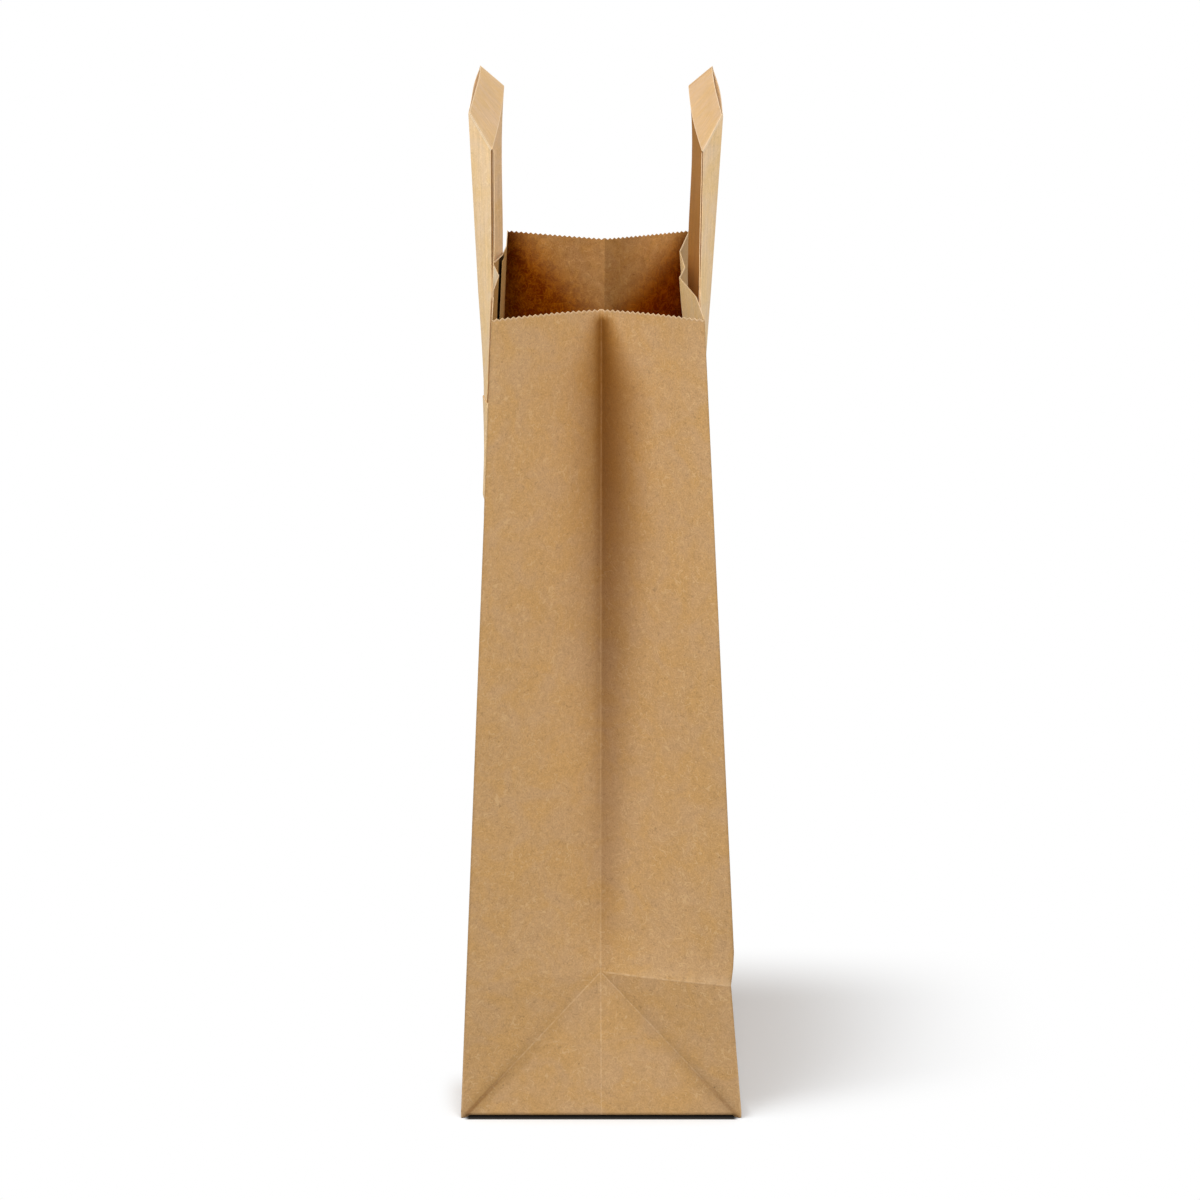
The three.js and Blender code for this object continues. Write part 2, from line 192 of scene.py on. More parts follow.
LEFT_NEAR_LEG = Leg(
    rim_out=0, rim_turn=23, bow=0, fold_out=1.1, fold_up=61.8, fold_turn=39.5, fold_rise=14.6,
    peel=83.0, peel_ease=1.77, press=0.33,
)
LEFT_FAR_LEG = Leg(
    rim_out=0, rim_turn=23, bow=0.9, fold_out=-0.8, fold_up=75.3, fold_turn=42.5, fold_rise=10.0,
)
RIGHT_NEAR_LEG = Leg(
    rim_out=0.6, rim_turn=18.5, bow=0, fold_out=0.7, fold_up=61, fold_turn=34.5, fold_rise=14.2,
)
RIGHT_FAR_LEG = Leg(
    rim_out=3.2, rim_turn=27, bow=1.7, fold_out=-2, fold_up=75.4, fold_turn=43, fold_rise=9.7,
)


# Plain sums


def lerp(start, end, share):
    return start + (end - start) * share


def clamp(value):
    return np.clip(value, 0.0, 1.0)


def ease(share):
    share = clamp(share)
    return share * share * (3 - 2 * share)


def paper_wave(along, up, seed):
    """Slow uneven waves of a handled sheet, about -1 to 1."""
    total = 0.0
    for k in range(1, WAVES + 1):
        turn = seed * 1.7 + k * 2.1
        onward = along * math.cos(turn) + up * math.sin(turn)
        length = LONGEST_WAVE / k
        total = total + np.sin(onward / length * FULL_TURN + seed * k) / k
    return total / 1.6


# Section of the sack at a height


def half_depth(height):
    """Half the bag's depth, which tapers towards the rim."""
    return HALF_GUSSET - TAPER * (height - BASE_LIP)


def crease_notch(side, height):
    """How far the folding crease nips the right panel's edges in."""
    if side == LEFT:
        return height * 0.0
    below = (height - BASE_LIP) / (APEX - BASE_LIP)
    above = 1 - (height - APEX) / CREASE_BAND
    return CREASE_NOTCH * clamp(np.minimum(below, above))


def edge_distance(side, height):
    return half_depth(height) - crease_notch(side, height)


def rim_bow(side, y):
    """Stand-off of a panel's rim from the straight line between its corners, straight between kinks."""
    keys = ((-HALF_WIDTH, 0.0), *(LEFT_RIM_BOW if side == LEFT else RIGHT_RIM_BOW), (HALF_WIDTH, 0.0))
    return np.interp(y, [key[0] for key in keys], [key[1] for key in keys])


def near_rim(height):
    """1 at the rim, 0 below the reach of the rim's bows."""
    return 1 - ease((BAG_HEIGHT - height) / RIM_BOW_DEPTH)


def unbowed_distance(side, y, height):
    """A panel's distance from the middle without the bows of its rim."""
    across = 1 - (y / HALF_WIDTH) ** 2
    rise = np.minimum(height / BAG_HEIGHT, 1)
    bulge = LEFT_BULGE * across * np.sin(math.pi * rise) if side == LEFT else 0.0
    return edge_distance(side, height) + bulge


def panel_distance(side, y, height):
    return unbowed_distance(side, y, height) + rim_bow(side, y) * near_rim(height)


def bottom_share(height):
    """0 at the foot, 1 where the slanting folds meet."""
    return clamp((height - BASE_LIP) / (APEX - BASE_LIP))


def turned(height):
    """0 where the slanting folds meet, 1 at the rim."""
    return clamp((height - APEX) / (BAG_HEIGHT - APEX))


def gusset_tuck(end, height):
    """How far a gusset's middle crease lies inside the panel edges."""
    apex_tuck = math.sqrt(HALF_GUSSET**2 - half_depth(APEX) ** 2)
    low = apex_tuck * bottom_share(height)
    if end == NEAR:
        high = np.sqrt(np.maximum(HALF_GUSSET**2 - half_depth(height) ** 2, 0))
    else:
        high = lerp(apex_tuck, FAR_RIM_TUCK, turned(height))
    return np.where(height < APEX, low, high)


def fold_distance(height):
    """How far the slanting folds lie from the middle."""
    return lerp(HALF_GUSSET - CORNER_BLUNT, CREASE_HALF_WIDTH, bottom_share(height))


def crease_shift(end, height):
    """How far a gusset's middle crease lies right of the middle."""
    return (NEAR_CREASE_SHIFT if end == NEAR else FAR_CREASE_SHIFT) * turned(height)


def tuck_share(end, share, height):
    """The tuck across half a gusset, which curves a little towards the rim."""
    if end == NEAR:
        return share ** lerp(1, NEAR_SWEEP, turned(height))
    return 1 - (1 - share) ** lerp(1, FAR_SWEEP, turned(height))


def lean(points):
    """The whole bag leans a little to the left towards its rim."""
    points[..., 0] += RIM_SHIFT * points[..., 2] / BAG_HEIGHT
    return points


# Sack: stations round the outline, each a column of points from the bottom fold to the rim


class Stretch:
    """One stretch of the outline: its points by height and its distances to the folds."""

    def __init__(self, x, y, z, teeth, edge_gap, slant_gap, crease_gap, on_panel=False):
        self.on_panel = on_panel
        self.points = np.stack(np.broadcast_arrays(x, y, z), -1)
        shape = self.points.shape[:2]
        self.teeth = np.broadcast_to(teeth, shape)
        self.gaps = [np.broadcast_to(gap, shape) for gap in (edge_gap, slant_gap, crease_gap)]


# A gap that reaches no fold, the slanting folds' top, and shares of a stretch close to its ends
FAR_AWAY = 100.0
UP_TO_APEX = APEX + 0.01
SQUARE_TO_SLANT = 0.7
FINE = np.array([0.0, 0.006, 0.014])


def gusset_half(end, side, heights, outward):
    """From the panel edge to the slanting fold, or back."""
    even = np.arange(1, 2 * HALF_GUSSET_TEETH) / (2 * HALF_GUSSET_TEETH)
    shares = np.concatenate([FINE, even, 1 - FINE[:0:-1]])
    if outward:
        shares = 1 - shares
    share = shares[None, :]
    h = heights[:, None]
    x = side * lerp(edge_distance(side, h), fold_distance(h), share) + crease_shift(end, h) * share
    y = end * (HALF_WIDTH - gusset_tuck(end, h) * tuck_share(end, share, h))
    rim_dip = NEAR_RIM_DIP if end == NEAR else FAR_RIM_DIP
    z = h - rim_dip * share**2 * (h - BASE_LIP) / (BAG_HEIGHT - BASE_LIP)
    spread = 4 * share * (1 - share) * ease((h - BASE_LIP) / WAVE_FADE)
    y = y + GUSSET_WAVE * paper_wave(x, h, 3 + end + 2 * side) * spread
    if end == NEAR and side == RIGHT:
        above = np.exp(-np.maximum(h - APEX, 0) / RIDGE_ABOVE)
        below = np.exp(-np.maximum(APEX - h, 0) / RIDGE_BELOW)
        y = y - FOLDING_RIDGE * above * below * np.sin(math.pi * clamp(share)) ** 0.6
    reach = edge_distance(side, h) - fold_distance(h)
    to_fold = np.abs(1 - share) * np.hypot(reach, gusset_tuck(end, h))
    to_edge = share * np.hypot(reach, gusset_tuck(end, h))
    slant_gap = np.where(h <= UP_TO_APEX, to_fold * SQUARE_TO_SLANT, FAR_AWAY)
    crease_gap = side * (to_fold + fold_distance(h))
    return Stretch(x, y, z, share * HALF_GUSSET_TEETH, to_edge, slant_gap, crease_gap)


def gusset_middle(end, side, heights):
    """Between the two slanting folds; above their meeting point only the rounded crease."""
    steps = np.array([0.012, 0.05, 0.16, 0.34, 0.52, 0.7, 0.84, 0.93, 0.98])
    across = np.concatenate([[-1.0], steps - 1, [0.0], 1 - steps[::-1]]) * side
    h = heights[:, None]
    aside = across[None, :] * fold_distance(h)
    x = aside + crease_shift(end, h)
    y = end * (HALF_WIDTH - gusset_tuck(end, h)) + 0 * x
    rim_dip = NEAR_RIM_DIP if end == NEAR else FAR_RIM_DIP
    z = h - rim_dip * (h - BASE_LIP) / (BAG_HEIGHT - BASE_LIP) + 0 * x
    to_fold = (1 - np.abs(across[None, :])) * fold_distance(h)
    slant_gap = np.where(h <= UP_TO_APEX, to_fold * SQUARE_TO_SLANT, FAR_AWAY)
    return Stretch(x, y, z, 0.0, FAR_AWAY, slant_gap, aside)


def panel(side, heights):
    """A wide panel from corner to corner."""
    even = np.linspace(-HALF_WIDTH, HALF_WIDTH, 2 * PANEL_TEETH + 1)[1:-1]
    close = HALF_GUSSET * FINE[1:]
    along = np.concatenate([[-HALF_WIDTH], close - HALF_WIDTH, even, HALF_WIDTH - close[::-1]]) * side
    y = along[None, :]
    h = heights[:, None]
    off_edge = ease((HALF_WIDTH - np.abs(y)) / WAVE_FADE)
    wave = paper_wave(y, h, 5 + side) * off_edge * ease((h - BASE_LIP) / PANEL_FOOT_FADE)
    below_patch = 1 - ease((h - PATCH_LOW + WAVE_FADE) / WAVE_FADE)
    x = side * (panel_distance(side, y, h) + PANEL_WAVE * wave * below_patch)
    share = 0.5 + side * y / BAG_WIDTH
    to_edge = HALF_WIDTH - np.abs(y)
    return Stretch(x, y, h, share * PANEL_TEETH, to_edge, FAR_AWAY, FAR_AWAY, on_panel=True)


def wall_heights():
    """Heights of the sack's rows, close together at the folds and the rim."""
    foot = [BASE_LIP, 3.0, 3.8, 5.2, 8.0]
    low = list(np.linspace(12, APEX - 4, 9))
    crease = [APEX - d for d in (2.0, 0.9, 0.35, 0.0, -0.35, -0.9, -2.0, -4.0)]
    wall = list(np.linspace(APEX + 8, BAG_HEIGHT - TOOTH_BAND - 6, 40))
    rim = [BAG_HEIGHT - d for d in (TOOTH_BAND, 4.5, 3.0, 1.6, 0.7, 0.0)]
    return np.array(foot + low + crease + wall + rim)


# Every other row of the plain wall, left out on the inside
WALL_ROWS = slice(23, 61, 2)


def grid_normals(points):
    """Unit normals of rows of points that run round in a ring."""
    along = np.roll(points, -1, 1) - np.roll(points, 1, 1)
    up = np.gradient(points, axis=0)
    normal = np.cross(along, up)
    return normal / np.maximum(np.linalg.norm(normal, axis=2, keepdims=True), 1e-9)


def new_piece(name, vertices, faces, materials, face_materials=None, gaps=None, sharp=60):
    """A mesh object in metres from points in millimetres, smooth but for its sharp edges."""
    mesh = bpy.data.meshes.new(name)
    mesh.from_pydata((np.asarray(vertices) * MM).tolist(), [], faces)
    for material in materials:
        mesh.materials.append(material)
    if face_materials is not None:
        mesh.polygons.foreach_set("material_index", np.asarray(face_materials, dtype=np.int32))
    mesh.polygons.foreach_set("use_smooth", np.ones(len(mesh.polygons), dtype=bool))
    for key, values in (gaps or {}).items():
        layer = mesh.attributes.new(key, "FLOAT", "POINT")
        layer.data.foreach_set("value", np.asarray(values, dtype=np.float32))
    mesh.update()
    mesh.set_sharp_from_angle(angle=math.radians(sharp))
    piece = bpy.data.objects.new(name, mesh)
    bpy.context.scene.collection.objects.link(piece)
    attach(piece, "root")
    return piece


def ring_faces(row_count, ring):
    """Four-sided faces between rows of points that run round in a ring."""
    row = np.arange(row_count - 1)[:, None]
    col = np.arange(ring)[None, :]
    nxt = (col + 1) % ring
    corners = (row * ring + col, row * ring + nxt, (row + 1) * ring + nxt, (row + 1) * ring + col)
    return np.stack(corners, -1).reshape(-1, 4).tolist()


def block_faces(rows, cols, start, mirrored=False):
    """Faces of a closed sheet: a front grid, then a back grid of the same size, joined round the edge."""
    def at(layer, i, j):
        return start + (layer * rows + i) * cols + j

    faces = []
    for i in range(rows - 1):
        for j in range(cols - 1):
            faces.append([at(0, i, j), at(0, i, j + 1), at(0, i + 1, j + 1), at(0, i + 1, j)])
            faces.append([at(1, i, j), at(1, i + 1, j), at(1, i + 1, j + 1), at(1, i, j + 1)])
    edge = [(0, j) for j in range(cols)]
    edge += [(i, cols - 1) for i in range(1, rows)]
    edge += [(rows - 1, j) for j in range(cols - 2, -1, -1)]
    edge += [(i, 0) for i in range(rows - 2, 0, -1)]
    for (i, j), (k, m) in zip(edge, edge[1:] + edge[:1]):
        faces.append([at(0, k, m), at(0, i, j), at(1, i, j), at(1, k, m)])
    return [face[::-1] for face in faces] if mirrored else faces


def seam_flap():
    """The free flap of the lap seam inside the left panel: it stays straight where the panel bows out."""
    columns = np.array([0.0, 0.02, 0.06, 0.14, 0.26, 0.4, 0.55, 0.7, 0.85, 1.0])
    y = SEAM_EDGE + SEAM_FLAP * columns[None, :]
    h = np.linspace(SEAM_FOOT, BAG_HEIGHT - SEAM_BELOW_RIM, 60)[:, None]
    (start, start_bow), (end, end_bow) = LEFT_RIM_BOW[-2:]
    straight = start_bow + (end_bow - start_bow) * (y - start) / (end - start)
    free = 1 - ease((y - SEAM_EDGE) / (SEAM_FREE * SEAM_FLAP))
    gape = SEAM_GLUE + SEAM_GAPE * free * ease((h - SEAM_GAPE_FROM) / SEAM_GAPE_RISE)
    line = lerp(straight, rim_bow(LEFT, y), SEAM_FOLLOWS_PANEL)
    inner = unbowed_distance(LEFT, y, h) + line * near_rim(h) - PAPER - gape
    front = np.stack(np.broadcast_arrays(-inner + SEAM_PAPER, y, h), -1)
    back = np.stack(np.broadcast_arrays(-inner, y, h), -1)
    return lean(front), lean(back)


def bottom_flap(side, underside):
    """A tongue with 45 degree shoulders, folded in from one panel past the middle."""
    reach = FLAP_LAP / 2
    fold_edge = HALF_GUSSET - FLAP_SETBACK
    shoulder = HALF_WIDTH - 2 * FLAP_SETBACK
    tongue = shoulder - fold_edge
    outline = [(fold_edge, -shoulder), (fold_edge, shoulder), (0, tongue)]
    outline += [(-reach, tongue), (-reach, -tongue), (0, -tongue)]
    low = [(side * x, y, underside) for x, y in outline]
    high = [(side * x, y, underside + FLAP_PAPER) for x, y in outline]
    return low + high


def make_sack(materials):
    """The sack from its folded bottom up the outside, over the rim and down the inside to its floor."""
    heights = wall_heights()
    stretches = [
        gusset_half(NEAR, LEFT, heights, False),
        gusset_middle(NEAR, RIGHT, heights),
        gusset_half(NEAR, RIGHT, heights, True),
        panel(RIGHT, heights),
        gusset_half(FAR, RIGHT, heights, False),
        gusset_middle(FAR, LEFT, heights),
        gusset_half(FAR, LEFT, heights, True),
        panel(LEFT, heights),
    ]
    outer = np.concatenate([s.points for s in stretches], 1)
    teeth = np.concatenate([s.teeth for s in stretches], 1)
    gaps = [np.concatenate([s.gaps[k] for s in stretches], 1) for k in range(3)]
    ring = outer.shape[1]
    is_end = np.concatenate([np.full(s.points.shape[1], not s.on_panel) for s in stretches])

    # The folds between panels and gussets are rounded.
    corner = gaps[0][0] < 1e-6
    for _ in range(2):
        middle = (np.roll(outer, 1, 1) + np.roll(outer, -1, 1)) / 2
        outer[:, corner] = lerp(outer[:, corner], middle[:, corner], 0.5)
    root = 1 - np.abs(1 - 2 * (teeth % 1))
    tooth_share = clamp((heights - (BAG_HEIGHT - TOOTH_BAND)) / TOOTH_BAND)[:, None]
    outer[..., 2] -= TOOTH_DEPTH * root * tooth_share
    outer[..., 2] += FAR_RIM_LIFT * clamp(0.5 + outer[..., 1] / BAG_WIDTH) * turned(heights)[:, None]
    rim_gap = outer[-1:, :, 2] - outer[..., 2]

    # Bottom edge: the end lips stand off the floor, the side folds and the corner tips reach it.
    foot = outer[0]
    end_share = np.where(is_end, ease((HALF_GUSSET - np.abs(foot[:, 0])) / CORNER_TIP), 0.0)
    lowest = lerp(LIP_LOWEST, END_LIP_RISE, end_share)
    depth = lerp(SIDE_LIP_DEPTH, END_LIP_DEPTH, end_share)
    off_side = np.where(is_end, 0, -np.sign(foot[:, 0]))
    off_end = np.where(is_end, -np.sign(foot[:, 1]), 0)
    inward = np.stack([off_side, off_end], -1)
    inward[corner] = -np.sign(foot[corner, :2])
    lip = []
    for turn in LIP_TURNS:
        a = math.radians(turn)
        ring_points = foot.copy()
        ring_points[:, :2] += inward * (depth * (1 - math.cos(a)))[:, None]
        ring_points[:, 2] = BASE_LIP - (BASE_LIP - lowest) * math.sin(a)
        lip.append(ring_points)
    under = foot.copy()
    under[:, :2] *= UNDERSIDE_SHRINK
    under[:, 2] = UNDERSIDE_RISE
    tucked = foot.copy()
    tucked[:, :2] += inward * (depth + LIP_TUCK)[:, None]
    tucked[:, 2] = np.maximum(lowest, LIP_TUCK_RISE)
    below = np.stack([under, tucked, *lip])

    # The inside has every other row of the plain wall, and its corner folds are thinner.
    normals = grid_normals(outer)
    inner = outer - PAPER * normals
    inner[:, corner] += 0.3 * PAPER * normals[:, corner]
    keep = np.ones(len(heights), dtype=bool)
    keep[WALL_ROWS] = False
    inner_rows = np.where(keep)[0]
    floor = foot.copy()
    floor[:, :2] += inward * FLOOR_INSET
    floor[:, 2] = FLOOR_RISE
    rows = np.concatenate([below, outer, inner[inner_rows][::-1], floor[None]])
    lean(rows)

    vertices = rows.reshape(-1, 3)
    faces = ring_faces(len(rows), ring)
    face_rows = np.repeat(np.arange(len(rows) - 1), ring)
    rim_row = len(below) + len(outer) - 1
    past_rim = np.where(face_rows == rim_row, CUT_EDGE, INSIDE)
    kinds = np.where(face_rows < rim_row, OUTSIDE, past_rim).tolist()
    faces.append(list(range(ring))[::-1])
    kinds.append(OUTSIDE)
    last = (len(rows) - 1) * ring
    faces.append(list(range(last, last + ring)))
    kinds.append(INSIDE)

    def by_row(values):
        low = np.repeat(values[:1], len(below), 0)
        plain_floor = np.full((1, ring), FAR_AWAY)
        return np.concatenate([low, values, values[inner_rows][::-1], plain_floor]).ravel()

    names = ("edge_gap", "slant_gap", "crease_gap", "rim_gap")
    fields = {name: by_row(values) for name, values in zip(names, (*gaps, rim_gap))}

    front, back = seam_flap()
    extra = [front.reshape(-1, 3), back.reshape(-1, 3)]
    flap_faces = block_faces(*front.shape[:2], len(vertices))
    faces += flap_faces
    kinds += [INSIDE] * len(flap_faces)
    start = len(vertices) + len(extra[0]) + len(extra[1])
    for side, underside in ((RIGHT, 0.0), (LEFT, FLAP_SPACING)):
        tongue = bottom_flap(side, underside)
        corners = len(tongue) // 2
        low = [start + i for i in range(corners)][::side]
        faces.append(low[::-1])
        faces.append([i + corners for i in low])
        for a, b in zip(low, low[1:] + low[:1]):
            faces.append([a, b, b + corners, a + corners])
        kinds += [OUTSIDE] * (corners + 2)
        extra.append(np.array(tongue))
        start += len(tongue)
    vertices = np.concatenate([vertices, *extra])
    more = len(vertices) - len(fields["rim_gap"])
    for key in fields:
        fields[key] = np.concatenate([fields[key], np.full(more, FAR_AWAY)])
    sack = new_piece("sack", vertices, faces, materials, kinds, fields)
    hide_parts("bag_body")
    return sack


# Straps: a leg's outer edge is the one away from the loop, its inner edge the one beside it


def leg_edge(end):
    """Where a leg's outer edge lies along the panel."""
    return HANDLE_OFFSET + end * HANDLE_SPAN / 2


def leg_ruling(side, end, leg, height):
    """Outer and inner edge of a leg where it lies beside the panel."""
    peeled = leg.peeled(height)
    pressed = leg.press * ease((height - PATCH_TOP + LEG_PRESS_FROM) / LEG_PRESS_RISE)
    out = STRAP_SEAT + leg.rim_out * peeled - pressed
    turn = leg.turn(height)
    outer_y = leg_edge(end)
    inner_y = outer_y - end * STRAP_WIDTH * math.cos(turn)
    outer_x = panel_distance(side, outer_y, height) + out
    inner_x = panel_distance(side, inner_y, height) + out
    inner_x += max(STRAP_WIDTH * math.sin(turn) + (outer_x - inner_x) * peeled, 0)
    return np.array([[side * outer_x, outer_y, height], [side * inner_x, inner_y, height]])


def fold_ruling(side, end, leg):
    """Outer and inner edge of a leg at its slanting fold."""
    outer_x = RIM_DEPTH / 2 + leg.fold_out
    outer_y = leg_edge(end)
    height = BAG_HEIGHT + leg.fold_up
    inner_x = outer_x + STRAP_WIDTH * math.sin(leg.fold_turn)
    inner_y = outer_y - end * STRAP_WIDTH * math.cos(leg.fold_turn)
    outer = [side * outer_x, outer_y, height]
    inner = [side * inner_x, inner_y, height + leg.fold_rise]
    return np.array([outer, inner])


# Rulings close to a fold, and what makes the top of share**2 * (1 - share) a full bow
NEAR_FOLD = [0.006, 0.02, 0.05]
FULL_BOW = 27 / 4


def leg_rulings(side, end, leg):
    """A leg from its glued end up to its slanting fold."""
    heights = np.linspace(PATCH_LOW + LEG_END_COVER, BAG_HEIGHT, 26)
    rulings = [leg_ruling(side, end, leg, height) for height in heights]
    rim = rulings[-1]
    fold = fold_ruling(side, end, leg)
    for share in [*np.linspace(0, 0.93, 17)[1:], *[1 - s for s in NEAR_FOLD[::-1]], 1.0]:
        ruling = lerp(rim, fold, share)
        ruling[:, 0] += side * leg.bow * FULL_BOW * share**2 * (1 - share)
        rulings.append(ruling)
    return rulings


def strap_rulings(side, near, far, run_bow):
    """Rulings from one glued end to the other and their parts: legs -1 to 0 and 1 to 2, run 0 to 1."""
    first = leg_rulings(side, NEAR, near)
    last = leg_rulings(side, FAR, far)[::-1]
    shares = NEAR_FOLD + list(np.linspace(0.1, 0.9, 17)) + [1 - s for s in NEAR_FOLD[::-1]]
    run = [lerp(first[-1], last[0], share) for share in shares]
    for ruling, share in zip(run, shares):
        ruling[0, 0] -= side * run_bow * math.sin(math.pi * share)
    parts = [np.linspace(-1, 0, len(first)), np.array(shares), np.linspace(1, 2, len(last))]
    return lean(np.array(first + run + last)), np.concatenate(parts)


# Columns across a strap, and the parts along it where its painted shade tone is stated
ACROSS = np.array([0.0, 0.012, 0.04, 0.1, 0.2, 0.32, 0.44, 0.56, 0.68, 0.8, 0.9, 0.96, 0.988, 1.0])
MIDDLE = len(ACROSS) // 2
SHADE_TONE_STOPS = [-0.45, -0.05, 0.05, 0.95, 1.05, 1.45]


def strap_surface(rulings):
    """Middle surface of a strap and its mitred normals."""
    points = rulings[:, 0, None, :] + (rulings[:, 1] - rulings[:, 0])[:, None, :] * ACROSS[None, :, None]
    along = np.diff(points, axis=0)
    span = np.cross(along, (rulings[:-1, 1] - rulings[:-1, 0])[:, None, :])
    span = span / np.linalg.norm(span, axis=2, keepdims=True)
    before = np.concatenate([span[:1], span])
    after = np.concatenate([span, span[-1:]])
    mitre = before + after
    mitre = mitre / np.linalg.norm(mitre, axis=2, keepdims=True)
    spread = np.clip((mitre * after).sum(2, keepdims=True), LEAST_MITRE, 1)
    return points, mitre / spread


def narrowed(points, width):
    """A ply whose edges stop at other places across the strap."""
    columns = [[np.interp(width, ACROSS, row[:, k]) for k in range(3)] for row in points]
    return np.array(columns).transpose(0, 2, 1)


def make_strap(name, side, near, far, material, run_bow, run_gape, gape_lean, leg_gape, shade_tones):
    """A strap of three plies: the run gapes along its upper edge, the near leg along its outer edge."""
    rulings, part = strap_rulings(side, near, far, run_bow)
    points, normals = strap_surface(rulings)
    outward = normals[0, MIDDLE, 0] * side
    if outward < 0:
        normals = -normals

    # How far the run opens towards its upper edge, and the near leg towards its outer edge
    v = ACROSS[None, :]
    s = part[:, None]
    on_run = (s > 0) * (s < 1)
    along_run = np.sin(math.pi * clamp(s / RUN_GAPE_END) ** gape_lean)
    to_upper_edge = ease((v - RUN_SHUT_WIDTH) / (1 - RUN_SHUT_WIDTH))
    run_open = run_gape * on_run * along_run * to_upper_edge ** 1.3
    on_near_leg = ease((s + LEG_GAPE_FROM) / LEG_GAPE_RISE) * (s <= 0)
    to_outer_edge = ease((LEG_GAPE_WIDTH - v) / LEG_GAPE_WIDTH)
    leg_open = leg_gape * on_near_leg * to_outer_edge ** 1.5

    # Each ply's stand-off from the middle of the strap, and where it lies across it
    plies = (
        (PLY_SPACING + 0.35 * run_open, ACROSS),
        (0.3 * run_open - 0.02 - 0.5 * leg_open, INNER_PLY_HEM + INNER_PLY_WIDTH * ACROSS),
        (-PLY_SPACING - 0.65 * run_open - leg_open, ACROSS),
    )

    # Distances along the strap and to its folds, and its painted shade: how light each part of it is
    # painted
    steps = np.linalg.norm(np.diff(points[:, MIDDLE], axis=0), axis=1)
    along = np.concatenate([[0.0], np.cumsum(steps)])
    folds = [along[np.argmin(np.abs(part))], along[np.argmin(np.abs(part - 1))]]
    to_fold = np.min([np.abs(along - fold) for fold in folds], axis=0)
    tone = np.interp(part, SHADE_TONE_STOPS, [*shade_tones[:3], *shade_tones[2:]])
    # Painted shade on the middle ply where the near leg gapes open
    slit = 1 - ease((part + LEG_GAPE_FROM) / SLIT_SHADE_RISE) * (part <= 0)
    hem = STRAP_WIDTH * np.minimum(ACROSS, 1 - ACROSS)[None, :]

    vertices = []
    faces = []
    start = 0
    fields = {"across": [], "along": [], "run": [], "hem": [], "bend": [], "tone": []}
    for number, (offset, width) in enumerate(plies):
        middle = points + normals * np.broadcast_to(offset, points.shape[:2])[..., None]
        middle = narrowed(middle, width)
        front = middle + normals * PLY / 2
        back = middle - normals * PLY / 2
        vertices += [front.reshape(-1, 3), back.reshape(-1, 3)]
        faces += block_faces(*front.shape[:2], start, side == LEFT)
        start += 2 * front.shape[0] * front.shape[1]
        ply_shade_tone = tone * slit if number == 1 else tone
        by_column = STRAP_WIDTH * width[None, :]
        values = (by_column, along[:, None], 1.0 * on_run, hem, to_fold[:, None], ply_shade_tone[:, None])
        for key, value in zip(fields, values):
            fields[key] += [np.broadcast_to(value, points.shape[:2]).ravel()] * 2

    # The far leg's outside gets less painted shade, as it faces the light.
    lit = np.where(part > 1, np.maximum(tone, LIT_LEG_TONE), tone)
    fields["tone"][0] = np.repeat(lit, len(ACROSS))
    fields = {key: np.concatenate(value) for key, value in fields.items()}
    strap = new_piece(name + "_strap", np.concatenate(vertices), faces, [material], gaps=fields, sharp=50)
    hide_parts(name)
    return strap


# Patches


def make_patch(name, side, legs, material):
    """A glued patch: flat on the panel, pressed up over the two legs that it holds."""
    y = np.linspace(leg_edge(NEAR) - PATCH_PAST_LEG, leg_edge(FAR) + PATCH_PAST_LEG, 150)[None, :]
    h = np.linspace(PATCH_LOW, PATCH_TOP, 30)[:, None]
    over = np.zeros_like(y)
    peel = 0.0
    for end, leg in zip((NEAR, FAR), legs):
        middle = leg_edge(end) - end * STRAP_WIDTH / 2
        aside = np.abs(y - middle) - STRAP_WIDTH / 2
        over = np.maximum(over, 1 - ease(aside / PATCH_RAMP))
        inward = (leg_edge(end) - y) * end / STRAP_WIDTH
        if leg.peel > PATCH_BELOW_RIM:
            slope = np.minimum(clamp(inward), 1 - ease((inward - 1.03) * 2))
            peel = peel + STRAP_WIDTH * np.sin(leg.turn(h)) * slope
    on_leg = ease((h - PATCH_LOW - LEG_END_COVER + PATCH_RAMP) / PATCH_RAMP)
    lift = lerp(PATCH_LIFT, PATCH_OVER_LEG, over * on_leg) + peel
    middle = panel_distance(side, y, h) + lift
    front = lean(np.stack(np.broadcast_arrays(side * (middle + PATCH_PAPER / 2), y, h), -1))
    back = lean(np.stack(np.broadcast_arrays(side * (middle - PATCH_PAPER / 2), y, h), -1))
    faces = block_faces(*front.shape[:2], 0, side == LEFT)
    vertices = np.concatenate([front.reshape(-1, 3), back.reshape(-1, 3)])
    patch = new_piece(name + "_sheet", vertices, faces, [material], sharp=50)
    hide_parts(name)
    return patch


# Papers


